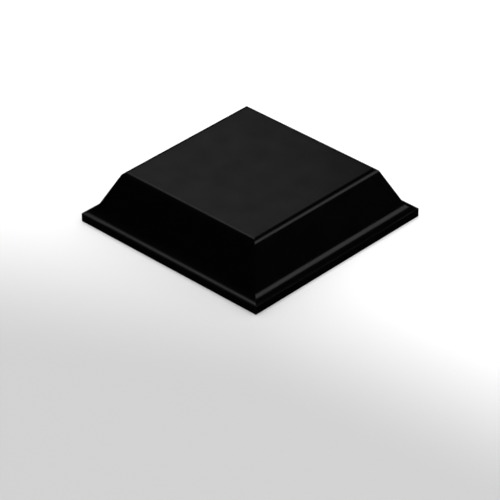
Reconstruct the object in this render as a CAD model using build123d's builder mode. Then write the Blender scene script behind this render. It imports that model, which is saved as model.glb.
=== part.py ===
from build123d import *
import os
from math import atan2, cos, radians, sin, tan

# Square cap for the end of a timber fence post. A moulded base is screwed down on the post's end,
# and a moulded cover snaps over it on four spring clips, so that no fastener shows outside.
# Millimetres and degrees. +Z is up, the origin is at the middle of the underside of the rim,
# and the sides face +X (right), +Y (back), -X (left) and -Y (front).

os.makedirs("parts", exist_ok=True)

# Post
post_width = 89.0
post_clearance = 1.0  # on each side, between the post and the socket wall

# Cover, outside
rim_overhang = 15.5  # how far the rim stands out beyond the post, on each side
rim_height = 4.65
cap_height = 28.75
slope_angle = 64.8  # of the four sides, from the horizontal
cove_radius = 5.55  # hollow curve from the side into the rim
cove_land = 0.3  # flat that is left outside the cove, on the rim's top
top_radius = 3.5

# Cover, inside
cover_wall = 2.5
inner_cove_radius = 3.0
inner_top_radius = 1.0
rib_thickness = 1.5
roof_rib_depth = 3.5
roof_rib_spacing = 40.0
locating_rib_width = 2.0
locating_rib_spacing = 60.0
locating_gap = 0.25  # between the locating ribs and the base
catch_width = 18.0
catch_thickness = 2.0
catch_root = 1.5  # how far below the ceiling the back of the catch leaves the side wall
catch_overhang = 1.0  # height of the catch's lower edge above the clip's seat
gusset_spacing = 14.0

# Mounting base
socket_depth = 6.0
socket_corner = 1.5
skirt_wall = 2.0
plate_thickness = 3.0
plate_corner = 2.5
plate_chamfer = 0.5
plate_gap = 0.68  # between the plate's upper edge and the cover's side wall
base_rib_thickness = 2.0
base_rib_height = 3.0
hub_diameter = 16.0
crush_rib_width = 2.0
crush_rib_height = 0.7
crush_rib_spacing = 50.0
crush_rib_lead = 1.5  # how far the crush ribs start above the mouth of the socket

# Holes for the wood screws that fasten the base to the post
fixing_spacing = 60.0
fixing_hole = 5.0
fixing_boss = 12.0

# Foam gasket under the plate
gasket_thickness = 1.5
gasket_gap = 0.6  # between the gasket's edge and the crush ribs
gasket_hole_clearance = 1.0  # on the diameter, around a fixing hole

# Rubber seal between the base and the cover
groove_lip = 0.8
groove_width = 3.2
groove_depth = 1.2
seal_side_gap = 0.1
seal_height = 2.4

# Spring clips, from stainless strip
strip_thickness = 0.4
clip_width = 10.0
clip_foot = 12.0
clip_tip_gap = 3.15  # below the ceiling of the cover
knee_gap = 0.35  # between the knee and the face of the catch
knee_reach = 1.4  # how far the knee stands out beyond the leaf
knee_radius = 1.0
bend_radius = 1.2
bead_engagement = 0.6  # how far the catch's bead reaches under the knee
bead_land = 1.0
bead_seat_gap = 0.1
tip_lean = 1.7  # how far the tip leans back in from the knee

# Seats and screws of the clips
pad_height = 4.0
pad_width = 14.0
pad_overlap = 1.0  # how far the pad reaches inwards beyond the clip's foot
cheek_gap = 0.15
cheek_height = 0.8
screw_hole_clearance = 0.3
screw_diameter = 2.9
screw_core = 2.2
screw_length = 6.5
screw_head = 5.6
screw_head_height = 2.1
screw_inset = 4.0  # from the foot's inner end to the screw
pilot_gap = 0.02
pilot_floor = 0.6  # what is left below the tip of the screw
recess_span = 3.2
recess_width = 0.8
recess_depth = 1.1

# Outline of the cover. Its section is the same on all four sides, and the sides meet in mitres.
run = 1 / tan(radians(slope_angle))
rim_half = post_width / 2 + rim_overhang
foot_half = rim_half - cove_land - cove_radius * tan(radians(slope_angle / 2))
top_half = foot_half - (cap_height - rim_height) * run
ceiling = cap_height - cover_wall


def inner_half(height):
    # half width inside the sloping walls at this height
    return foot_half - cover_wall / sin(radians(slope_angle)) - (height - rim_height) * run


# Heights and widths of the base
socket_half = post_width / 2 + post_clearance
skirt_half = socket_half + skirt_wall
plate_bottom = socket_depth + gasket_thickness
plate_top = plate_bottom + plate_thickness
plate_half = inner_half(plate_top) - plate_gap
locating_face = max(plate_half, skirt_half) + locating_gap
pad_top = plate_top + pad_height
rib_top = plate_top + base_rib_height

# Seal
groove_outer = plate_half - groove_lip
groove_inner = groove_outer - groove_width
seal_bottom = plate_top - groove_depth
seal_top = seal_bottom + seal_height
seal_middle = (groove_outer + groove_inner) / 2

# Catch and clip: distances out from the axis, and heights
leaf_height = ceiling - clip_tip_gap - pad_top
catch_back = inner_half(ceiling - catch_root)
catch_face = catch_back - catch_thickness
knee_out = catch_face - knee_gap
leaf_out = knee_out - knee_reach
leaf_bend_z = pad_top + 0.37 * leaf_height
knee_z = pad_top + 0.65 * leaf_height
tip_z = pad_top + leaf_height
ramp_rise = knee_z - leaf_bend_z
ramp_angle = atan2(knee_reach, ramp_rise)
bead_tip = knee_out - bead_engagement
bead_reach = catch_face - bead_tip
ramp_skin = strip_thickness / 2 / cos(ramp_angle)
bead_shoulder = leaf_bend_z + (bead_tip - bead_seat_gap - leaf_out - ramp_skin) * ramp_rise / knee_reach
bead_nose = bead_shoulder - bead_land
catch_foot = min(pad_top + catch_overhang, bead_nose - 1.5 * bead_reach)
foot_bend = min(bend_radius, 0.6 * (leaf_bend_z - pad_top - strip_thickness / 2))  # room left on a short leaf
foot_inner = leaf_out - clip_foot
screw_out = foot_inner + screw_inset
pad_inner = foot_inner - pad_overlap
pad_outer = leaf_out - bend_radius - strip_thickness

sides = {"right": 0, "back": 90, "left": 180, "front": 270}


def side_plane(angle):
    # upright plane through the axis: its X points out through one side, its Y points up
    out = (cos(radians(angle)), sin(radians(angle)), 0)
    across = (sin(radians(angle)), -cos(radians(angle)), 0)
    return Plane(origin=(0, 0, 0), x_dir=out, z_dir=across)


def mitred_block(rim, rim_z, foot, top, top_z, cove, shoulder):
    # solid whose section is a rim, a cove, a sloping side and a rounded shoulder, on all four sides
    with BuildPart() as block:
        for plane, mode in ((Plane.XZ, Mode.ADD), (Plane.YZ, Mode.INTERSECT)):
            with BuildSketch(plane) as section:
                with BuildLine():
                    Polyline((0, 0), (rim, 0), (rim, rim_z), (foot, rim_z), (top, top_z), (0, top_z), (0, 0))
                make_face()
                mirror(about=Plane.YZ)
                fillet(section.vertices().group_by(Axis.Y)[-1], shoulder)
                fillet(section.vertices().group_by(Axis.Y)[1].sort_by(Axis.X)[1:-1], cove)
            extrude(amount=rim, both=True, mode=mode)
    return block.part


# The hollow of the cover, with a slot wherever the cover has a rib
with BuildPart() as hollow:
    add(
        mitred_block(
            rim_half - cover_wall,
            rim_height - cover_wall,
            inner_half(rim_height - cover_wall),
            inner_half(ceiling),
            ceiling,
            inner_cove_radius,
            inner_top_radius,
        )
    )
    with BuildSketch(Plane.XY.offset(ceiling - roof_rib_depth)):
        with GridLocations(roof_rib_spacing, 0, 2, 1):
            Rectangle(rib_thickness, 2 * rim_half)
        with GridLocations(0, roof_rib_spacing, 1, 2):
            Rectangle(2 * rim_half, rib_thickness)
    extrude(amount=roof_rib_depth, mode=Mode.SUBTRACT)
    with BuildSketch(Plane.XY.offset(seal_top)):
        Rectangle(2 * seal_middle + rib_thickness, 2 * seal_middle + rib_thickness)
        Rectangle(2 * seal_middle - rib_thickness, 2 * seal_middle - rib_thickness, mode=Mode.SUBTRACT)
    extrude(amount=ceiling - seal_top, mode=Mode.SUBTRACT)
    for angle in sides.values():
        with BuildSketch(side_plane(angle)):
            with BuildLine():
                Polyline(
                    (catch_back, ceiling),
                    (catch_face, ceiling),
                    (catch_face, bead_shoulder + bead_reach / 2),
                    (bead_tip, bead_shoulder),
                    (bead_tip, bead_nose),
                    (catch_face, bead_nose - bead_reach),
                    (catch_face, catch_foot),
                    (catch_back, catch_foot),
                    close=True,
                )
            make_face()
        extrude(amount=catch_width / 2, both=True, mode=Mode.SUBTRACT)
        for across in (-gusset_spacing / 2, gusset_spacing / 2):
            with BuildSketch(side_plane(angle).offset(across)):
                with BuildLine():
                    Polyline(
                        (catch_back, ceiling),
                        (rim_half, ceiling),
                        (rim_half, catch_foot),
                        (catch_back, catch_foot),
                        close=True,
                    )
                make_face()
            extrude(amount=rib_thickness / 2, both=True, mode=Mode.SUBTRACT)
        for across in (-locating_rib_spacing / 2, locating_rib_spacing / 2):
            with BuildSketch(side_plane(angle).offset(across)):
                with BuildLine():
                    Polyline(
                        (locating_face, seal_top),
                        (locating_face, plate_bottom - locating_rib_width),
                        (inner_half(rim_height), rim_height - cover_wall),
                        (rim_half, rim_height - cover_wall),
                        (rim_half, seal_top),
                        close=True,
                    )
                make_face()
            extrude(amount=locating_rib_width / 2, both=True, mode=Mode.SUBTRACT)

with BuildPart() as cap_cover:
    add(mitred_block(rim_half, rim_height, foot_half, top_half, cap_height, cove_radius, top_radius))
    add(hollow.part, mode=Mode.SUBTRACT)
cap_cover.part.label = "cap_cover"
export_step(cap_cover.part, "parts/cap_cover.step")

with BuildPart() as mounting_base:
    with BuildSketch(Plane.XY.offset(plate_bottom)):
        RectangleRounded(2 * plate_half, 2 * plate_half, plate_corner)
    extrude(amount=plate_thickness)
    chamfer(mounting_base.edges().filter_by(GeomType.LINE).group_by(Axis.Z)[0], plate_chamfer)
    with BuildSketch():
        RectangleRounded(2 * skirt_half, 2 * skirt_half, socket_corner + skirt_wall)
        RectangleRounded(2 * socket_half, 2 * socket_half, socket_corner, mode=Mode.SUBTRACT)
    extrude(amount=plate_bottom)
    for angle in sides.values():
        for across in (-crush_rib_spacing / 2, crush_rib_spacing / 2):
            with BuildSketch(side_plane(angle).offset(across)):
                with BuildLine():
                    Polyline(
                        (socket_half, crush_rib_lead),
                        (socket_half - crush_rib_height, crush_rib_lead + crush_rib_width),
                        (socket_half - crush_rib_height, plate_bottom),
                        (socket_half + skirt_wall / 2, plate_bottom),
                        (socket_half + skirt_wall / 2, crush_rib_lead),
                        close=True,
                    )
                make_face()
            extrude(amount=crush_rib_width / 2, both=True)
    with BuildSketch(Plane.XY.offset(plate_top)):
        Circle(hub_diameter / 2)
        with GridLocations(fixing_spacing, fixing_spacing, 2, 2):
            Circle(fixing_boss / 2)
        for angle in sides.values():
            with PolarLocations(pad_inner / 2, 1, angle):
                Rectangle(pad_inner, base_rib_thickness)
            with PolarLocations(groove_inner / 2 ** 0.5, 1, angle + 45):
                Rectangle(2 * groove_inner / 2 ** 0.5 - 2 * plate_corner, base_rib_thickness)
        Circle(hub_diameter / 2 - base_rib_thickness, mode=Mode.SUBTRACT)
    extrude(amount=base_rib_height)
    with BuildSketch(Plane.XY.offset(plate_top)):
        with PolarLocations((pad_inner + pad_outer) / 2, 4):
            Rectangle(pad_outer - pad_inner, pad_width)
    extrude(amount=pad_height)
    with BuildSketch(Plane.XY.offset(pad_top)):
        with PolarLocations((foot_inner + pad_outer) / 2, 4):
            Rectangle(pad_outer - foot_inner, pad_width)
            Rectangle(pad_outer - foot_inner, clip_width + 2 * cheek_gap, mode=Mode.SUBTRACT)
    extrude(amount=cheek_height)
    with BuildSketch(Plane.XY.offset(pad_top)):
        with PolarLocations(screw_out, 4):
            Circle(screw_core / 2 + pilot_gap)
    extrude(amount=-(plate_thickness + pad_height - pilot_floor), mode=Mode.SUBTRACT)
    with BuildSketch(Plane.XY.offset(rib_top)):
        with GridLocations(fixing_spacing, fixing_spacing, 2, 2):
            Circle(fixing_hole / 2)
    extrude(amount=-(plate_thickness + base_rib_height), mode=Mode.SUBTRACT)
    with BuildSketch(Plane.XY.offset(plate_top)):
        RectangleRounded(2 * groove_outer, 2 * groove_outer, plate_corner)
        RectangleRounded(2 * groove_inner, 2 * groove_inner, plate_corner, mode=Mode.SUBTRACT)
    extrude(amount=-groove_depth, mode=Mode.SUBTRACT)
mounting_base.part.label = "mounting_base"
export_step(mounting_base.part, "parts/mounting_base.step")

with BuildPart() as post_gasket:
    gasket_half = socket_half - crush_rib_height - gasket_gap
    with BuildSketch(Plane.XY.offset(socket_depth)):
        RectangleRounded(2 * gasket_half, 2 * gasket_half, socket_corner)
        with GridLocations(fixing_spacing, fixing_spacing, 2, 2):
            Circle((fixing_hole + gasket_hole_clearance) / 2, mode=Mode.SUBTRACT)
    extrude(amount=gasket_thickness)
post_gasket.part.label = "post_gasket"
export_step(post_gasket.part, "parts/post_gasket.step")

with BuildPart() as seal_ring:
    with BuildSketch(Plane.XY.offset(seal_bottom)):
        seal_outer = groove_outer - seal_side_gap
        seal_inner = groove_inner + seal_side_gap
        RectangleRounded(2 * seal_outer, 2 * seal_outer, plate_corner - seal_side_gap)
        RectangleRounded(2 * seal_inner, 2 * seal_inner, plate_corner + seal_side_gap, mode=Mode.SUBTRACT)
    extrude(amount=seal_height)
seal_ring.part.label = "seal_ring"
export_step(seal_ring.part, "parts/seal_ring.step")

for side, angle in sides.items():
    with BuildPart() as spring_clip:
        with BuildSketch(side_plane(angle)):
            with BuildLine():
                FilletPolyline(
                    (foot_inner, pad_top + strip_thickness / 2),
                    (leaf_out, pad_top + strip_thickness / 2),
                    (leaf_out, leaf_bend_z),
                    (knee_out, knee_z),
                    (knee_out - tip_lean, tip_z),
                    radius=[foot_bend, foot_bend, knee_radius],
                )
            trace(line_width=strip_thickness)
        extrude(amount=clip_width / 2, both=True)
        with BuildSketch(Plane.XY.offset(pad_top)):
            with PolarLocations(screw_out, 1, angle):
                Circle((screw_diameter + screw_hole_clearance) / 2)
        extrude(amount=strip_thickness, mode=Mode.SUBTRACT)
    spring_clip.part.label = f"spring_clip_{side}"
    export_step(spring_clip.part, f"parts/spring_clip_{side}.step")

    with BuildPart() as clip_screw:
        with BuildSketch(Plane.XY.offset(pad_top + strip_thickness)):
            with PolarLocations(screw_out, 1, angle):
                Circle(screw_head / 2)
        extrude(amount=screw_head_height)
        fillet(clip_screw.edges().sort_by(Axis.Z)[-1], screw_head_height / 2)
        with BuildSketch(Plane.XY.offset(pad_top + strip_thickness)):
            with PolarLocations(screw_out, 1, angle):
                Circle(screw_core / 2)
        extrude(amount=-screw_length)
        chamfer(clip_screw.edges().sort_by(Axis.Z)[0], screw_core / 4)
        with BuildSketch(Plane.XY.offset(pad_top + strip_thickness + screw_head_height)):
            with PolarLocations(screw_out, 1, angle):
                Rectangle(recess_span, recess_width)
                Rectangle(recess_width, recess_span)
        extrude(amount=-recess_depth, mode=Mode.SUBTRACT)
    clip_screw.part.label = f"clip_screw_{side}"
    export_step(clip_screw.part, f"parts/clip_screw_{side}.step")
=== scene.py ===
import bmesh
import bpy
import numpy as np
from mathutils import Matrix, Vector


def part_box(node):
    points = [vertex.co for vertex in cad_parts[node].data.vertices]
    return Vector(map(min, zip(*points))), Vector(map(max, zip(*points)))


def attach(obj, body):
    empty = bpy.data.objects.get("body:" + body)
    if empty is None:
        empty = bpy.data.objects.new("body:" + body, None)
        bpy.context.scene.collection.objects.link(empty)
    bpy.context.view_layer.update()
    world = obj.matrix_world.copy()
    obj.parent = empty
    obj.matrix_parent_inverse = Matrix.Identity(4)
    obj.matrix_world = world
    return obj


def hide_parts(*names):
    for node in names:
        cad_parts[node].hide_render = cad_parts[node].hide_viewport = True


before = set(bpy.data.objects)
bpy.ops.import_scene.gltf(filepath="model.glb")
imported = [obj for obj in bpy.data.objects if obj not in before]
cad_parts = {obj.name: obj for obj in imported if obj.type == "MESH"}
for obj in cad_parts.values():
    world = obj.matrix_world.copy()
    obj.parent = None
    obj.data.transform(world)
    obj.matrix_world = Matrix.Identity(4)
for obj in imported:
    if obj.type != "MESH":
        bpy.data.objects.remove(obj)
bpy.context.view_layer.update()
mm = 0.001


def linear(hexColour):
    # sRGB hex to the linear colour that a shader socket takes
    c = np.array([int(hexColour[i:i + 2], 16) for i in (1, 3, 5)]) / 255
    return (*np.where(c <= 0.04045, c / 12.92, ((c + 0.055) / 1.055) ** 2.4), 1.0)


def addNode(tree, kind, settings=(), links=()):
    # one node, its settings (sockets by name or number, or properties) and what feeds its sockets
    node = tree.nodes.new(kind)
    for name, value in dict(settings).items():
        if isinstance(name, int) or name in node.inputs:
            node.inputs[name].default_value = value
        else:
            setattr(node, name, value)
    for name, source in dict(links).items():
        tree.links.new(source, node.inputs[name])
    return node


def newMaterial(name, settings):
    # an empty material with its shader, whose uniform values sit on the shader's own sockets
    made = bpy.data.materials.new(name)
    made.use_nodes = True
    tree = made.node_tree
    tree.nodes.clear()
    shader = addNode(tree, "ShaderNodeBsdfPrincipled", settings)
    addNode(tree, "ShaderNodeOutputMaterial", links={"Surface": shader.outputs["BSDF"]})
    place = addNode(tree, "ShaderNodeTexCoord").outputs["Object"]
    return made, tree, shader, place


def softened(mesh, edge=0.0, segments=2, sharp=28):
    # worked on in millimetres, where the edge rounding is exact: faces outwards, edges sharper than so many
    # degrees rounded, then metres
    work = bmesh.new()
    work.from_mesh(mesh)
    bmesh.ops.recalc_face_normals(work, faces=work.faces)
    if edge:
        corners = [e for e in work.edges if e.is_manifold and e.calc_face_angle() > np.radians(sharp)]
        bmesh.ops.bevel(work, geom=corners, offset=edge, offset_type="OFFSET", segments=segments, profile=0.5,
                        affect="EDGES", clamp_overlap=False, loop_slide=True, miter_outer="SHARP")
    bmesh.ops.scale(work, vec=(mm, mm, mm), verts=work.verts)
    work.to_mesh(mesh)
    work.free()
    mesh.polygons.foreach_set("use_smooth", np.ones(len(mesh.polygons), bool))


def placed(mesh, material, body, node=None):
    # a finished mesh as a piece that rides on a body and takes the place of a CAD node
    mesh.materials.clear()
    mesh.materials.append(material)
    piece = bpy.data.objects.new(mesh.name, mesh)
    bpy.context.scene.collection.objects.link(piece)
    if body == "base" or "Rib" in mesh.name:  # what stands inside the cap
        innerPieces.objects.link(piece)
    flatFaces = piece.modifiers.new("flatFaces", "WEIGHTED_NORMAL")  # keeps the large faces flat to the light
    flatFaces.weight = 70
    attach(piece, body)
    if node:
        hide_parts(node)
    return piece


def newPiece(name, points, faces, material, body, slotName, node=None, edge=0.0):
    # a closed mesh from arrays in millimetres
    mesh = bpy.data.meshes.new(name)
    mesh.from_pydata(np.asarray(points, float).tolist(), [], faces)
    mesh.validate()
    softened(mesh, edge)
    return placed(mesh, material, body, node)


def roundedLine(corners, radii, arcStep=4, support=0.12):
    # a line through corners with an arc of the given radius at each: points on an arc, about arcStep degrees
    # apart, are centre + radius times the turning direction, and a support point stands just off each end
    pts = np.asarray(corners, float)
    rows = []
    for i, radius in enumerate(radii):
        here = pts[i]
        if radius == 0:
            rows.append(here[None])
            continue
        toPrev = pts[i - 1] - here
        toNext = pts[(i + 1) % len(pts)] - here
        toPrev /= np.linalg.norm(toPrev)
        toNext /= np.linalg.norm(toNext)
        half = np.arccos(np.clip(toPrev @ toNext, -1, 1)) / 2
        reach = radius / np.tan(half)
        bisector = (toPrev + toNext) / np.linalg.norm(toPrev + toNext)
        centre = here + bisector * radius / np.sin(half)
        start = here + toPrev * reach - centre
        end = here + toNext * reach - centre
        sweep = np.pi - 2 * half
        t = np.linspace(0, 1, max(2, int(np.degrees(sweep) / arcStep)) + 1)[:, None]
        arc = centre + (np.sin((1 - t) * sweep) * start + np.sin(t * sweep) * end) / np.sin(sweep)
        rows.append(np.vstack([arc[:1] + toPrev * support, arc, arc[-1:] + toNext * support]))
    return np.vstack(rows)


def squareRing(arcPoints=7, sidePoints=7, support=0.3):
    # one turn round a square with rounded corners, as the three arrays in
    # point = (half - corner) * spread + corner * normal + along
    turn = np.linspace(0, np.pi / 2, arcPoints)
    f = np.linspace(1, -1, sidePoints)
    spread = np.vstack([np.ones((arcPoints, 2)), np.stack([f, np.ones(sidePoints)], 1)])
    normal = np.vstack([np.stack([np.cos(turn), np.sin(turn)], 1), np.tile([0.0, 1.0], (sidePoints, 1))])
    along = np.vstack([np.zeros((arcPoints, 2)), np.stack([-f, np.zeros(sidePoints)], 1)]) * support
    quarters = [np.array([[c, s], [-s, c]]) for c, s in ((1, 0), (0, 1), (-1, 0), (0, -1))]
    return [np.vstack([part @ quarter for quarter in quarters]) for part in (spread, normal, along)]


def gridFaces(rows, cols, closedRows=False):
    # the quads of a grid whose columns close on themselves, with its two ends unless its rows close too
    i, j = np.meshgrid(np.arange(rows if closedRows else rows - 1), np.arange(cols), indexing="ij")
    nextRow, nextCol = (i + 1) % rows, (j + 1) % cols
    quads = np.stack([i * cols + j, i * cols + nextCol, nextRow * cols + nextCol, nextRow * cols + j], -1)
    faces = quads.reshape(-1, 4).tolist()
    if not closedRows:
        faces += [list(range(cols))[::-1], [(rows - 1) * cols + c for c in range(cols)]]
    return faces


def sweptSquare(profile, corner, closedProfile=False):
    # surface of two parameters: the profile (half width, height) carried round a rounded square
    spread, normal, along = squareRing()
    half = profile[:, 0][:, None, None]
    corner = np.broadcast_to(corner, len(profile))[:, None, None]
    flat = (half - corner) * spread + corner * normal + along
    height = np.broadcast_to(profile[:, 1][:, None, None], flat.shape[:2] + (1,))
    points = np.concatenate([flat, height], 2)
    return points.reshape(-1, 3), gridFaces(*points.shape[:2], closedProfile)


def prism(outline, side, middle, thickness):
    # a flat outline (distance out, height) on an upright plane that faces one side, given a thickness
    out = np.array([np.cos(side), np.sin(side), 0])
    across = np.array([-np.sin(side), np.cos(side), 0])
    outline = np.asarray(outline, float)
    base = outline[:, :1] * out + outline[:, 1:] * np.array([0, 0, 1.0])
    points = np.vstack([base + across * (middle - thickness / 2), base + across * (middle + thickness / 2)])
    n = len(outline)
    faces = [list(range(n)), list(range(2 * n - 1, n - 1, -1))]
    faces += [[k, k + n, (k + 1) % n + n, (k + 1) % n] for k in range(n)]
    return points, faces


def joined(parts):
    # several point and face lists as one
    points, faces, start = [], [], 0
    for p, f in parts:
        points.append(p)
        faces += [[v + start for v in face] for face in f]
        start += len(p)
    return np.vstack(points), faces


def turned(points, angle):
    # points turned about the upright axis
    c, s = np.cos(angle), np.sin(angle)
    return points @ np.array([[c, s, 0], [-s, c, 0], [0, 0, 1]])


def boxOf(node):
    # a CAD node's lowest and highest corners in millimetres
    return (np.array(corner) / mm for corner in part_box(node))


# the camera; its lengths go with the cap's half width
halfWidth = (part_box("cap_cover")[1].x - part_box("cap_cover")[0].x) / 2
view = {"azimuth": 43.12, "elevation": 33.73, "roll": 0.18, "distance": 25.54 * halfWidth,
        "lens": 219.05, "sensor": 36.0, "aimAcross": -0.0033 * halfWidth, "aimUp": -0.264 * halfWidth,
        "near": 0.05, "far": 50}
az, el, roll = (np.radians(view[k]) for k in ("azimuth", "elevation", "roll"))
back = Vector((np.sin(az) * np.cos(el), -np.cos(az) * np.cos(el), np.sin(el)))
right = Vector((np.cos(az), np.sin(az), 0))
upward = back.cross(right)
right, upward = right * np.cos(roll) + upward * np.sin(roll), upward * np.cos(roll) - right * np.sin(roll)
lens = bpy.data.cameras.new("camera")
lens.lens, lens.sensor_width = view["lens"], view["sensor"]
lens.clip_start, lens.clip_end = view["near"], view["far"]
camera = bpy.data.objects.new("camera", lens)
bpy.context.scene.collection.objects.link(camera)
aim = right * view["aimAcross"] + upward * view["aimUp"]
camera.matrix_world = (
    Matrix.Translation(aim + back * view["distance"]) @ Matrix((right, upward, back)).transposed().to_4x4()
)
bpy.context.scene.camera = camera
bpy.context.scene.view_settings.view_transform = "Standard"

# soft boxes round the cap, which stands in the middle: place, size, power, and whether reflections show them
softBoxes = {
    "skyPanel": {"at": (0, 0, 1.6), "size": (1.0, 1.0), "watts": 10, "seen": False},
    "backLeftPanel": {"at": (-1.27, 0.69, 1.42), "size": (1.4, 1.15), "watts": 1.45, "seen": True},
    "leftStrip": {"at": (-1.08, 0.5, 1.5), "size": (0.3, 0.3), "watts": 0.2, "seen": True},
    "backRightPanel": {"at": (0.95, 0.97, 0.82), "size": (0.75, 0.75), "watts": 1.4, "seen": True},
    "frontPanel": {"at": (0.3, -1.0, 1.7), "size": (0.7, 0.5), "watts": 1.0, "seen": True},
    "lowPanel": {"at": (0.25, -0.3, -1.3), "size": (1.2, 0.9), "watts": 6, "seen": True},
}
# dim cards that give every side of the black cover something to reflect, clear of what the main view
# reflects: each one's bearing and height in degrees
shapeCard = {"away": 1.9, "size": (1.1, 0.6), "watts": 0.6}
shapeCards = {"front": (270, 38), "right": (0, 38), "back": (90, 24), "left": (188, 24),
              "frontRight": (313, 52), "top": (0, 90), "lowFront": (270, -32), "lowRight": (0, -32),
              "lowBack": (90, -32), "lowLeft": (180, -32)}
for name, (bearing, up) in shapeCards.items():
    bearing, up = np.radians(bearing), np.radians(up)
    way = np.array([np.cos(bearing) * np.cos(up), np.sin(bearing) * np.cos(up), np.sin(up)])
    softBoxes[name + "Card"] = {"at": tuple(shapeCard["away"] * way), "size": shapeCard["size"],
                                "watts": shapeCard["watts"], "seen": True}
# cards round the cap that light only what stands inside it, so that its metal and ribs read when it is open
innerCards = {"count": 4, "first": 45, "away": 1.7, "height": 0.75, "size": (2.4, 1.1), "watts": 5}
innerPieces = bpy.data.collections.new("innerPieces")
for k in range(innerCards["count"]):
    turn = np.radians(innerCards["first"] + 360 / innerCards["count"] * k)
    at = (innerCards["away"] * np.cos(turn), innerCards["away"] * np.sin(turn), innerCards["height"])
    softBoxes["innerCard%d" % k] = {"at": at, "size": innerCards["size"], "watts": innerCards["watts"],
                                    "seen": True, "only": innerPieces}
for name, box in softBoxes.items():
    light = bpy.data.lights.new(name, "AREA")
    light.shape = "RECTANGLE"
    light.size, light.size_y = box["size"]
    light.energy = box["watts"]
    lamp = bpy.data.objects.new(name, light)
    lamp.location = box["at"]
    lamp.rotation_mode = "QUATERNION"
    lamp.rotation_quaternion = Vector(box["at"]).to_track_quat("Z", "Y")
    lamp.visible_camera = False
    lamp.visible_glossy = box["seen"]
    if "only" in box:
        lamp.light_linking.receiver_collection = box["only"]
    bpy.context.scene.collection.objects.link(lamp)

studio = {"colour": "#ffffff", "strength": 0.85}
world = bpy.data.worlds.new("studio")
world.use_nodes = True
world.node_tree.nodes["Background"].inputs["Color"].default_value = linear(studio["colour"])
world.node_tree.nodes["Background"].inputs["Strength"].default_value = studio["strength"]
world.cycles_visibility.glossy = False  # the studio's far walls are dark in the cap's reflections
bpy.context.scene.world = world

# the paper is white under and behind the cap and greys towards its front left, a painted shade that stands in
# for the studio light falling off across it; it lies a hair below the cap, and its underside lets light and
# sight through, so that the cap's underside can be looked at
paper = {"size": 6.0, "below": 0.05, "white": "#f4f4f4", "grey": "#bababa", "roughness": 0.9, "specular": 0.2,
         "ior": 1.45, "start": -0.03, "end": 0.15, "leftShare": 0.25, "rightShare": 0.5}
studioPaper, tree, shader, place = newMaterial("studioPaper", {
    "Roughness": paper["roughness"], "IOR": paper["ior"], "Specular IOR Level": paper["specular"]})
# the painted shade's distance = nearer + leftShare * leftward + rightShare * (leftward where it is below
# zero), in metres
leftward, nearer = (addNode(tree, "ShaderNodeVectorMath", {"operation": "DOT_PRODUCT", 1: way}, {0: place})
                    for way in ((-np.cos(az), -np.sin(az), 0), (np.sin(az), -np.cos(az), 0)))
onRight = addNode(tree, "ShaderNodeMath", {"operation": "MINIMUM", 1: 0.0}, {0: leftward.outputs["Value"]})
paintedShadeDistance = nearer
for source, share in ((leftward, paper["leftShare"]), (onRight, paper["rightShare"])):
    paintedShadeDistance = addNode(tree, "ShaderNodeMath", {"operation": "MULTIPLY_ADD", 1: share},
                      {0: source.outputs["Value"], 2: paintedShadeDistance.outputs["Value"]})
fade = addNode(tree, "ShaderNodeMapRange", {
    "From Min": paper["start"], "From Max": paper["end"], "interpolation_type": "SMOOTHSTEP"},
    {"Value": paintedShadeDistance.outputs["Value"]})
# painted shade: the paper's white is mixed towards grey along this distance, in place of light falling off
tone = addNode(tree, "ShaderNodeMix", {
    "data_type": "RGBA", 6: linear(paper["white"]), 7: linear(paper["grey"])}, {0: fade.outputs["Result"]})
tree.links.new(tone.outputs[2], shader.inputs["Base Color"])
seenFromBelow = addNode(tree, "ShaderNodeNewGeometry").outputs["Backfacing"]
through = addNode(tree, "ShaderNodeBsdfTransparent")
surface = addNode(tree, "ShaderNodeMixShader", {}, {
    0: seenFromBelow, 1: shader.outputs["BSDF"], 2: through.outputs["BSDF"]})
output = next(node for node in tree.nodes if node.type == "OUTPUT_MATERIAL")
tree.links.new(surface.outputs["Shader"], output.inputs["Surface"])
reach, z = paper["size"] / 2, -paper["below"] * mm
floorMesh = bpy.data.meshes.new("floor")
floorMesh.from_pydata([(-reach, -reach, z), (reach, -reach, z), (reach, reach, z), (-reach, reach, z)], [],
                      [(0, 1, 2, 3)])
floorMesh.materials.append(studioPaper)
floor = bpy.data.objects.new("floor", floorMesh)
bpy.context.scene.collection.objects.link(floor)
floor.visible_glossy = False
floor.visible_shadow = False
print("camera, soft boxes and floor ready")

# the materials: a size is the millimetres across a grain, a depth is in millimetres too, and rough is the
# range that the grain moves the roughness through; the middle part of a noise's range is stretched over it
noiseLow, noiseHigh = 0.3, 0.7

coverFinish = {"colour": "#020203", "ior": 1.5, "hazeSize": 14, "hazeDetail": 4, "rough": (0.2, 0.27),
               "waveSize": 0.5, "waveDetail": 2, "waveStrength": 0.06, "waveDepth": 0.03}


def mouldedCover(finish):
    # black weather-resistant styrene plastic from a polished mould: deep black, a soft sheen, and the faint
    # waviness and handling haze that only show where a light is reflected
    made, tree, shader, place = newMaterial("blackMouldedAsa", {
        "Base Color": linear(finish["colour"]), "IOR": finish["ior"]})
    haze = addNode(tree, "ShaderNodeTexNoise", {
        "Scale": 1 / (finish["hazeSize"] * mm), "Detail": finish["hazeDetail"]}, {"Vector": place})
    rough = addNode(tree, "ShaderNodeMapRange", {
        "From Min": noiseLow, "From Max": noiseHigh,
        "To Min": finish["rough"][0], "To Max": finish["rough"][1]},
        {"Value": haze.outputs["Fac"]})
    tree.links.new(rough.outputs["Result"], shader.inputs["Roughness"])
    waves = addNode(tree, "ShaderNodeTexNoise", {
        "Scale": 1 / (finish["waveSize"] * mm), "Detail": finish["waveDetail"]}, {"Vector": place})
    texture = addNode(tree, "ShaderNodeBump", {
        "Strength": finish["waveStrength"], "Distance": finish["waveDepth"] * mm},
        {"Height": waves.outputs["Fac"]})
    tree.links.new(texture.outputs["Normal"], shader.inputs["Normal"])
    return made


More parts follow.
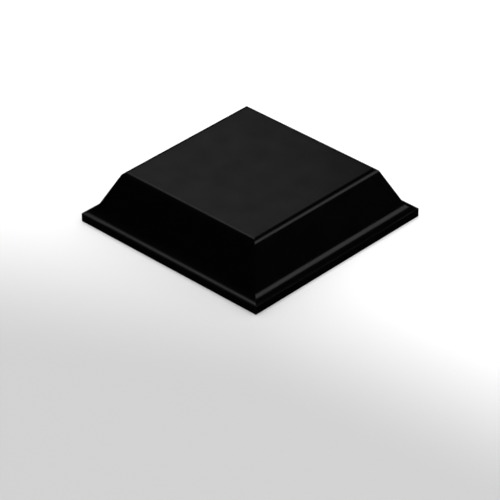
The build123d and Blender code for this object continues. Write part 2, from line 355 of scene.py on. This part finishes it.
baseFinish = {"dark": "#1b1c1d", "pale": "#242526", "ior": 1.53, "cloudSize": 9, "cloudDetail": 4,
              "pebbleSize": 0.35, "pebbleDetail": 2, "rough": (0.45, 0.6), "pebbleStrength": 0.35,
              "pebbleDepth": 0.06}


def mouldedBase(finish):
    # glass-filled nylon from a spark-eroded mould: dark grey, matt and finely pebbled; the real pebbles,
    # about 0.1 mm across, are too fine to show, so they are drawn coarser
    made, tree, shader, place = newMaterial("sparkTexturedNylon", {"IOR": finish["ior"]})
    cloud = addNode(tree, "ShaderNodeTexNoise", {
        "Scale": 1 / (finish["cloudSize"] * mm), "Detail": finish["cloudDetail"]}, {"Vector": place})
    tone = addNode(tree, "ShaderNodeMapRange", {
        "From Min": noiseLow, "From Max": noiseHigh, "To Min": 0.0, "To Max": 1.0},
        {"Value": cloud.outputs["Fac"]})
    colour = addNode(tree, "ShaderNodeMix", {
        "data_type": "RGBA", 6: linear(finish["dark"]), 7: linear(finish["pale"])},
        {0: tone.outputs["Result"]})
    tree.links.new(colour.outputs[2], shader.inputs["Base Color"])
    pebble = addNode(tree, "ShaderNodeTexNoise", {
        "Scale": 1 / (finish["pebbleSize"] * mm), "Detail": finish["pebbleDetail"]}, {"Vector": place})
    rough = addNode(tree, "ShaderNodeMapRange", {
        "From Min": noiseLow, "From Max": noiseHigh,
        "To Min": finish["rough"][0], "To Max": finish["rough"][1]},
        {"Value": pebble.outputs["Fac"]})
    tree.links.new(rough.outputs["Result"], shader.inputs["Roughness"])
    texture = addNode(tree, "ShaderNodeBump", {
        "Strength": finish["pebbleStrength"], "Distance": finish["pebbleDepth"] * mm},
        {"Height": pebble.outputs["Fac"]})
    tree.links.new(texture.outputs["Normal"], shader.inputs["Normal"])
    return made


foamFinish = {"pit": "#101010", "skin": "#262626", "ior": 1.45, "roughness": 0.88, "cellSize": 0.7,
              "cellWall": 0.45, "cellStrength": 0.6, "cellDepth": 0.15}


def closedCellFoam(finish):
    # EPDM foam sheet: near-black, dull, with small closed cells, each painted darker towards its dented
    # middle as painted shade in the pits
    made, tree, shader, place = newMaterial("closedCellEpdmFoam", {
        "IOR": finish["ior"], "Roughness": finish["roughness"]})
    cells = addNode(tree, "ShaderNodeTexVoronoi", {"Scale": 1 / (finish["cellSize"] * mm)}, {"Vector": place})
    pit = addNode(tree, "ShaderNodeMapRange", {
        "From Min": 0.0, "From Max": finish["cellWall"], "To Min": 0.0, "To Max": 1.0},
        {"Value": cells.outputs["Distance"]})
    # painted shade: the colour goes from skin to the darker pit colour towards each cell's middle, where the
    # bump is lowest
    colour = addNode(tree, "ShaderNodeMix", {
        "data_type": "RGBA", 6: linear(finish["pit"]), 7: linear(finish["skin"])}, {0: pit.outputs["Result"]})
    tree.links.new(colour.outputs[2], shader.inputs["Base Color"])
    texture = addNode(tree, "ShaderNodeBump", {
        "Strength": finish["cellStrength"], "Distance": finish["cellDepth"] * mm},
        {"Height": pit.outputs["Result"]})
    tree.links.new(texture.outputs["Normal"], shader.inputs["Normal"])
    return made


rubberFinish = {"colour": "#121212", "ior": 1.52, "bloomSize": 3, "bloomDetail": 4, "rough": (0.5, 0.75),
                "skinSize": 0.3, "skinDetail": 2, "skinStrength": 0.2, "skinDepth": 0.05}


def mouldedRubber(finish):
    # solid EPDM: black, satin where it's handled, dull elsewhere; its skin is drawn coarser than the real
    # one, which is too fine to show
    made, tree, shader, place = newMaterial("mouldedEpdmRubber", {
        "Base Color": linear(finish["colour"]), "IOR": finish["ior"]})
    bloom = addNode(tree, "ShaderNodeTexNoise", {
        "Scale": 1 / (finish["bloomSize"] * mm), "Detail": finish["bloomDetail"]}, {"Vector": place})
    rough = addNode(tree, "ShaderNodeMapRange", {
        "From Min": noiseLow, "From Max": noiseHigh,
        "To Min": finish["rough"][0], "To Max": finish["rough"][1]},
        {"Value": bloom.outputs["Fac"]})
    tree.links.new(rough.outputs["Result"], shader.inputs["Roughness"])
    skin = addNode(tree, "ShaderNodeTexNoise", {
        "Scale": 1 / (finish["skinSize"] * mm), "Detail": finish["skinDetail"]}, {"Vector": place})
    texture = addNode(tree, "ShaderNodeBump", {
        "Strength": finish["skinStrength"], "Distance": finish["skinDepth"] * mm},
        {"Height": skin.outputs["Fac"]})
    tree.links.new(texture.outputs["Normal"], shader.inputs["Normal"])
    return made


stripFinish = {"colour": "#b9b6b0", "lineWidth": 0.12, "lineLength": 6, "detail": 3.0, "rough": (0.2, 0.38),
               "lineStrength": 0.07, "lineDepth": 0.02}


def rolledStrip(finish, name, across):
    # cold-rolled stainless spring strip: bright, with rolling lines along the strip, drawn wider than the
    # real ones of about 0.02 mm so that they show
    made, tree, shader, place = newMaterial(name, {"Base Color": linear(finish["colour"]), "Metallic": 1.0})
    stretch = [1 / (finish["lineLength"] * mm)] * 3
    stretch[across] = 1 / (finish["lineWidth"] * mm)
    lines = addNode(tree, "ShaderNodeMapping", {"Scale": stretch}, {"Vector": place})
    streak = addNode(tree, "ShaderNodeTexNoise", {"Scale": 1.0, "Detail": finish["detail"]},
                     {"Vector": lines.outputs["Vector"]})
    rough = addNode(tree, "ShaderNodeMapRange", {
        "From Min": noiseLow, "From Max": noiseHigh,
        "To Min": finish["rough"][0], "To Max": finish["rough"][1]},
        {"Value": streak.outputs["Fac"]})
    tree.links.new(rough.outputs["Result"], shader.inputs["Roughness"])
    texture = addNode(tree, "ShaderNodeBump", {
        "Strength": finish["lineStrength"], "Distance": finish["lineDepth"] * mm},
        {"Height": streak.outputs["Fac"]})
    tree.links.new(texture.outputs["Normal"], shader.inputs["Normal"])
    return made


screwFinish = {"colour": "#aaa9a6", "skinSize": 0.6, "skinDetail": 4, "rough": (0.22, 0.4),
               "skinStrength": 0.1, "skinDepth": 0.02}


def screwStainless(finish):
    # cold-headed and thread-rolled stainless wire: bright with a slightly grey, tumbled skin
    made, tree, shader, place = newMaterial("tumbledStainless", {
        "Base Color": linear(finish["colour"]), "Metallic": 1.0})
    skin = addNode(tree, "ShaderNodeTexNoise", {
        "Scale": 1 / (finish["skinSize"] * mm), "Detail": finish["skinDetail"]}, {"Vector": place})
    rough = addNode(tree, "ShaderNodeMapRange", {
        "From Min": noiseLow, "From Max": noiseHigh,
        "To Min": finish["rough"][0], "To Max": finish["rough"][1]},
        {"Value": skin.outputs["Fac"]})
    tree.links.new(rough.outputs["Result"], shader.inputs["Roughness"])
    texture = addNode(tree, "ShaderNodeBump", {
        "Strength": finish["skinStrength"], "Distance": finish["skinDepth"] * mm},
        {"Height": skin.outputs["Fac"]})
    tree.links.new(texture.outputs["Normal"], shader.inputs["Normal"])
    return made


coverPlastic, basePlastic = mouldedCover(coverFinish), mouldedBase(baseFinish)
gasketFoam, sealRubber = closedCellFoam(foamFinish), mouldedRubber(rubberFinish)
screwSteel = screwStainless(screwFinish)
stripAlongX = rolledStrip(stripFinish, "rolledStainlessStripX", 1)
stripAlongY = rolledStrip(stripFinish, "rolledStainlessStripY", 0)
print("materials ready")

# the cover, in millimetres as every piece from here on
cover = {"rim": 4.65, "slope": 64.8, "cove": 5.55, "land": 0.3, "shoulder": 3.5, "wall": 2.5,
         "innerCove": 3.0, "innerShoulder": 1.0, "innerRim": 0.4, "edge": 0.15, "mitre": 0.15,
         "flatMiddle": 1.0, "flatRow": 30.0, "arcStep": 3, "support": 0.06}
wall, rim = cover["wall"], cover["rim"]
rimHalf = halfWidth / mm
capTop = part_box("cap_cover")[1].z / mm
ceiling = capTop - wall
slope = np.radians(cover["slope"])
footHalf = rimHalf - cover["land"] - cover["cove"] * np.tan(slope / 2)


def outerHalf(z):
    # half the cover's outer width at a height on its slope
    return footHalf - (z - rim) / np.tan(slope)


def innerHalf(z):
    # half its inner width at that height
    return outerHalf(z) - wall / np.sin(slope)


shellCorners = [
    (cover["flatMiddle"], capTop), (cover["flatRow"], capTop), (outerHalf(capTop), capTop), (footHalf, rim),
    (rimHalf, rim), (rimHalf, 0), (rimHalf - wall, 0), (rimHalf - wall, rim - wall),
    (innerHalf(rim - wall), rim - wall), (innerHalf(ceiling), ceiling),
    (cover["flatRow"], ceiling), (cover["flatMiddle"], ceiling)]
shellRadii = [0, 0, cover["shoulder"], cover["cove"], cover["edge"], cover["edge"], cover["edge"],
              cover["innerRim"], cover["innerCove"], cover["innerShoulder"], 0, 0]
shellProfile = roundedLine(shellCorners, shellRadii, cover["arcStep"], cover["support"])
shellPoints, shellFaces = sweptSquare(shellProfile, cover["mitre"])
newPiece("coverShell", shellPoints, shellFaces, coverPlastic, "cover", "cover_plastic", "cap_cover")
print("cover shell:", len(shellFaces), "faces")

# the ribs and catches inside the cover, each let into the wall by a little; the locating ribs centre the
# cover on the base, and nose and shoulder are the lower and upper end of the flat on a catch's bead
inside = {"let": 0.9, "rib": 1.5, "roofDepth": 3.5, "roofSpacing": 40.0, "catchWidth": 18.0,
          "catchThick": 2.0, "catchRoot": 1.5, "catchFoot": 15.5, "gussetSpacing": 14.0, "gussetRise": 0.02,
          "locating": 2.0, "locatingSpacing": 60.0, "locatingFace": 50.23, "locatingFoot": 5.5,
          "locatingEnd": 1.1, "locatingBevel": 0.5, "edge": 0.15}
bead = {"tip": 41.05, "shoulder": 18.59, "nose": 17.59}
sides = {"right": 0.0, "back": np.pi / 2, "left": np.pi, "front": 1.5 * np.pi}
let = inside["let"]
catchBack = innerHalf(ceiling - inside["catchRoot"])
catchFace = catchBack - inside["catchThick"]
hook = catchFace - bead["tip"]
ringLow, ringHigh = boxOf("seal_ring")
sealTop = ringHigh[2]
roofFoot = ceiling - inside["roofDepth"]
gussetFoot, gussetTop = inside["catchFoot"] + inside["gussetRise"], ceiling - let
roofRib = [(-innerHalf(roofFoot) - let, roofFoot), (innerHalf(roofFoot) + let, roofFoot),
           (innerHalf(ceiling) + let, ceiling + let), (-innerHalf(ceiling) - let, ceiling + let)]
catch = [(catchBack, ceiling + let), (catchFace, ceiling + let), (catchFace, bead["shoulder"] + hook / 2),
         (bead["tip"], bead["shoulder"]), (bead["tip"], bead["nose"]), (catchFace, bead["nose"] - hook),
         (catchFace, inside["catchFoot"]), (catchBack, inside["catchFoot"])]
gusset = [(catchBack - let, gussetFoot), (innerHalf(inside["catchFoot"]) + let, gussetFoot),
          (innerHalf(gussetTop) + let, gussetTop), (catchBack - let, gussetTop)]
locating = [(inside["locatingFace"], sealTop + let), (inside["locatingFace"], inside["locatingFoot"]),
            (innerHalf(rim), rim - wall), (rimHalf - wall - inside["locatingEnd"], rim - wall),
            (rimHalf - wall - inside["locatingBevel"], rim - wall + let),
            (innerHalf(sealTop) + let, sealTop + let)]
ribs = []
for turn in (0.0, np.pi / 2):
    for across in (-inside["roofSpacing"] / 2, inside["roofSpacing"] / 2):
        ribs.append(prism(roofRib, turn, across, inside["rib"]))
for turn in sides.values():
    ribs.append(prism(catch, turn, 0.0, inside["catchWidth"]))
    for across in (-inside["gussetSpacing"] / 2, inside["gussetSpacing"] / 2):
        ribs.append(prism(gusset, turn, across, inside["rib"]))
    for across in (-inside["locatingSpacing"] / 2, inside["locatingSpacing"] / 2):
        ribs.append(prism(locating, turn, across, inside["locating"]))
newPiece("coverRibs", *joined(ribs), coverPlastic, "cover", "cover_plastic", edge=inside["edge"])

# the seal in the base's groove, and the cover's lip that stands on it
seal = {"width": 3.0, "corner": 2.4, "innerCorner": 2.6, "topRound": 0.6, "footRound": 0.3, "arcStep": 9,
        "support": 0.05}
lip = {"outerTop": 16.6, "innerTop": 19.8, "tipRound": 0.25, "corner": 0.3, "arcStep": 15, "support": 0.05}
ringOut = ringHigh[0]
ringIn = ringOut - seal["width"]
ringMiddle = ringOut - seal["width"] / 2
lipIn, lipOut = ringMiddle - inside["rib"] / 2, ringMiddle + inside["rib"] / 2
lipProfile = roundedLine(
    [(lipIn, sealTop), (lipOut, sealTop), (lipOut, lip["outerTop"]), (lipIn, lip["innerTop"])],
    [lip["tipRound"], lip["tipRound"], 0, 0], lip["arcStep"], lip["support"])
newPiece("sealLip", *sweptSquare(lipProfile, lip["corner"], closedProfile=True), coverPlastic, "cover",
         "cover_plastic")
print("cover ribs and seal lip ready")

copied = {"merge": 0.004, "flat": 1, "baseEdge": 0.18, "gasketEdge": 0.3, "gasketSegments": 3}


def softenedCopy(node, name, material, body, edge, segments=2):
    # the node's own shape, its loose triangles merged and its flat faces made whole, with its edges rounded
    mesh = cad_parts[node].data.copy()
    mesh.name = name
    work = bmesh.new()
    work.from_mesh(mesh)
    bmesh.ops.scale(work, vec=(1 / mm, 1 / mm, 1 / mm), verts=work.verts)
    bmesh.ops.remove_doubles(work, verts=work.verts, dist=copied["merge"])
    bmesh.ops.dissolve_limit(work, angle_limit=np.radians(copied["flat"]), verts=work.verts, edges=work.edges)
    work.to_mesh(mesh)
    work.free()
    softened(mesh, edge, segments)
    return placed(mesh, material, body, node)


softenedCopy("mounting_base", "mountingBase", basePlastic, "base", copied["baseEdge"])
gasket = softenedCopy("post_gasket", "postGasket", gasketFoam, "base", copied["gasketEdge"],
                      copied["gasketSegments"])

ringProfile = roundedLine(
    [(ringIn, ringLow[2]), (ringOut, ringLow[2]), (ringOut, sealTop), (ringIn, sealTop)],
    [seal["footRound"], seal["footRound"], seal["topRound"], seal["topRound"]],
    seal["arcStep"], seal["support"])
share = (ringProfile[:, 0] - ringIn) / (ringOut - ringIn)
ringCorner = seal["innerCorner"] + share * (seal["corner"] - seal["innerCorner"])
newPiece("sealRing", *sweptSquare(ringProfile, ringCorner, closedProfile=True), sealRubber, "base",
         "seal_rubber", "seal_ring")
print("base, gasket and seal ready")

# the spring clips: a foot under a screw, an upright leaf, and a knee that stands over the catch's bead
clip = {"strip": 0.4, "width": 10.0, "foot": 12.0, "reach": 1.4, "lean": 1.7, "bend": 1.2, "knee": 1.0,
        "kneeGap": 0.35, "topGap": 3.15, "bendShare": 0.37, "kneeShare": 0.65, "holeRadius": 1.6,
        "edge": 0.09, "bendStep": 6, "bendSupport": 0.05, "edgeStep": 30, "edgeSupport": 0.02}
drill = {"sides": 48, "clear": 5}


def stripSurface(line, width, thickness, edge):
    # a strip's outline (across, through) carried along its line:
    # point = line + through * normal + across * side
    outline = roundedLine([(-width / 2, -thickness / 2), (width / 2, -thickness / 2),
                           (width / 2, thickness / 2), (-width / 2, thickness / 2)],
                          [edge] * 4, clip["edgeStep"], clip["edgeSupport"])
    ahead = np.gradient(line, axis=0)
    ahead /= np.linalg.norm(ahead, axis=1)[:, None]
    normal = np.stack([-ahead[:, 1], ahead[:, 0]], 1)
    run = line[:, None, :] + normal[:, None, :] * outline[None, :, 1:]
    across = np.broadcast_to(outline[None, :, :1], run.shape[:2] + (1,))
    points = np.concatenate([run[..., :1], across, run[..., 1:]], 2)
    return points.reshape(-1, 3), gridFaces(*points.shape[:2])


def drilled(points, faces, middle, radius):
    # takes a round hole down through a closed mesh
    n = drill["sides"]
    turn = np.linspace(0, 2 * np.pi, n, endpoint=False)
    ring = np.stack([middle[0] + radius * np.cos(turn), middle[1] + radius * np.sin(turn), 0 * turn], 1)
    bit = np.vstack([ring - [0, 0, drill["clear"]], ring + [0, 0, points[:, 2].max() + drill["clear"]]])
    solids = []
    for label, where, what in (("strip", points, faces), ("bit", bit, gridFaces(2, n))):
        mesh = bpy.data.meshes.new(label)
        mesh.from_pydata(np.asarray(where).tolist(), [], what)
        solids.append(bpy.data.objects.new(label, mesh))
        bpy.context.scene.collection.objects.link(solids[-1])
    cut = solids[0].modifiers.new("hole", "BOOLEAN")
    cut.object, cut.operation, cut.solver = solids[1], "DIFFERENCE", "EXACT"
    bpy.context.view_layer.update()
    made = bpy.data.meshes.new_from_object(solids[0].evaluated_get(bpy.context.evaluated_depsgraph_get()))
    for solid in solids:
        bpy.data.objects.remove(solid)
    return made


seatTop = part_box("spring_clip_right")[0].z / mm
kneeOut = catchFace - clip["kneeGap"]
leafOut = kneeOut - clip["reach"]
leafHeight = ceiling - clip["topGap"] - seatTop
clipLine = roundedLine(
    [(leafOut - clip["foot"], seatTop + clip["strip"] / 2), (leafOut, seatTop + clip["strip"] / 2),
     (leafOut, seatTop + clip["bendShare"] * leafHeight), (kneeOut, seatTop + clip["kneeShare"] * leafHeight),
     (kneeOut - clip["lean"], seatTop + leafHeight)],
    [0, clip["bend"], clip["bend"], clip["knee"], 0], clip["bendStep"], clip["bendSupport"])
clipPoints, clipFaces = stripSurface(clipLine, clip["width"], clip["strip"], clip["edge"])
for side, turn in sides.items():
    low, high = boxOf("clip_screw_" + side)
    strip = drilled(turned(clipPoints, turn), clipFaces, (low + high) / 2, clip["holeRadius"])
    strip.name = "springClip" + side.capitalize()
    softened(strip)
    placed(strip, stripAlongX if side in ("right", "left") else stripAlongY, "base",
           "spring_clip_" + side)
print("spring clips ready")

# the clip screws; each is turned a little further than the one before, as screws end up
screw = {"head": 5.6, "headHeight": 2.1, "core": 2.2, "thread": 2.9, "pitch": 1.1, "length": 6.5, "tip": 1.0,
         "tipShare": 0.08, "neck": 0.3, "firstTurn": 0.4, "nextTurn": 1.1, "around": 96, "domeRows": 40,
         "shankRows": 90}
# the head's side is rimShare of its height, and its dome the rest; edge is its rounding below, as steps from
# the head's radius, and fillet the small round under it, as steps from the core's radius
panHead = {"pole": 0.04, "rimShare": 0.62, "domeShare": 0.38, "roundness": 0.97,
           "edge": ((0, 0.25), (-0.12, 0.06), (-0.4, 0.0)), "fillet": ((0.25, 0.0), (0, -0.2))}
crossSlot = {"depth": 1.15, "wing": 0.42, "span": 1.65, "root": 1.25, "taper": 0.5, "flank": 0.1,
             "endFlank": 0.25, "middle": 0.62, "middleFlank": 0.15}
thread = {"valley": 0.45, "fadeStart": 0.5, "fadeLength": 0.6}


def screwSurface():
    # profile (radius, height) turned about the screw's axis; the head's top is pressed in where the cross is,
    # by depth * smooth step of the distance inside its four tapering wings
    headHalf, coreHalf = screw["head"] / 2, screw["core"] / 2
    domeR = np.linspace(panHead["pole"], 1, screw["domeRows"])
    domeShape = np.sqrt(1 - panHead["roundness"] * domeR ** 3)
    domeZ = screw["headHeight"] * (panHead["rimShare"] + panHead["domeShare"] * domeShape)
    dome = np.stack([domeR * headHalf, domeZ], 1)
    dome[:, 1] -= dome[0, 1] - screw["headHeight"]
    under = np.array([[headHalf + step, height] for step, height in panHead["edge"]]
                     + [[coreHalf + step, height] for step, height in panHead["fillet"]])
    down = np.linspace(-screw["neck"], -screw["length"], screw["shankRows"])
    taper = np.clip((down + screw["length"]) / screw["tip"], screw["tipShare"], 1)
    profile = np.vstack([dome, under, np.stack([coreHalf * taper, down], 1)])
    angle = np.linspace(0, 2 * np.pi, screw["around"], endpoint=False)
    r = np.repeat(profile[:, :1], len(angle), 1)
    z = np.repeat(profile[:, 1:], len(angle), 1)
    x, y = r * np.cos(angle), r * np.sin(angle)
    nearer, farther = np.minimum(abs(x), abs(y)), np.maximum(abs(x), abs(y))
    narrowing = farther / crossSlot["span"] * crossSlot["taper"]
    wing = crossSlot["wing"] * np.clip(crossSlot["root"] - narrowing, 0, 1)
    inWing = np.clip((wing - nearer) / crossSlot["flank"], 0, 1)
    inWing = inWing * np.clip((crossSlot["span"] - farther) / crossSlot["endFlank"], 0, 1)
    inWing = np.maximum(inWing, np.clip((crossSlot["middle"] - r) / crossSlot["middleFlank"], 0, 1))
    top = np.arange(len(profile)) < len(dome)
    z -= top[:, None] * crossSlot["depth"] * inWing * inWing * (3 - 2 * inWing)
    return r, z, angle


def threaded(r, z, angle):
    # radius grows by the thread's depth times a triangle wave of height / pitch - turn, flat in its valleys,
    # and fades out under the head and at the tip
    wave = np.abs(((z / screw["pitch"] - angle / (2 * np.pi)) % 1) * 2 - 1)
    ridge = np.clip((wave - thread["valley"]) / (1 - thread["valley"]), 0, 1)
    height = (screw["thread"] - screw["core"]) / 2
    fade = np.clip((-z - thread["fadeStart"]) / thread["fadeLength"], 0, 1)
    fade = fade * np.clip((z + screw["length"]) / screw["tip"], 0, 1)
    return r + ridge * height * fade * (z < -screw["neck"])


screwR, screwZ, screwTurn = screwSurface()
screwR = threaded(screwR, screwZ, screwTurn)
screwPoints = np.stack([screwR * np.cos(screwTurn), screwR * np.sin(screwTurn), screwZ], -1)
screwFaces = gridFaces(*screwPoints.shape[:2])
for number, side in enumerate(sides):
    low, high = boxOf("clip_screw_" + side)
    seat = np.array([(low[0] + high[0]) / 2, (low[1] + high[1]) / 2, high[2] - screw["headHeight"]])
    points = turned(screwPoints.reshape(-1, 3), screw["firstTurn"] + screw["nextTurn"] * number) + seat
    newPiece("clipScrew" + side.capitalize(), points, screwFaces, screwSteel, "base", "screw_steel",
             "clip_screw_" + side)
print("clip screws ready")
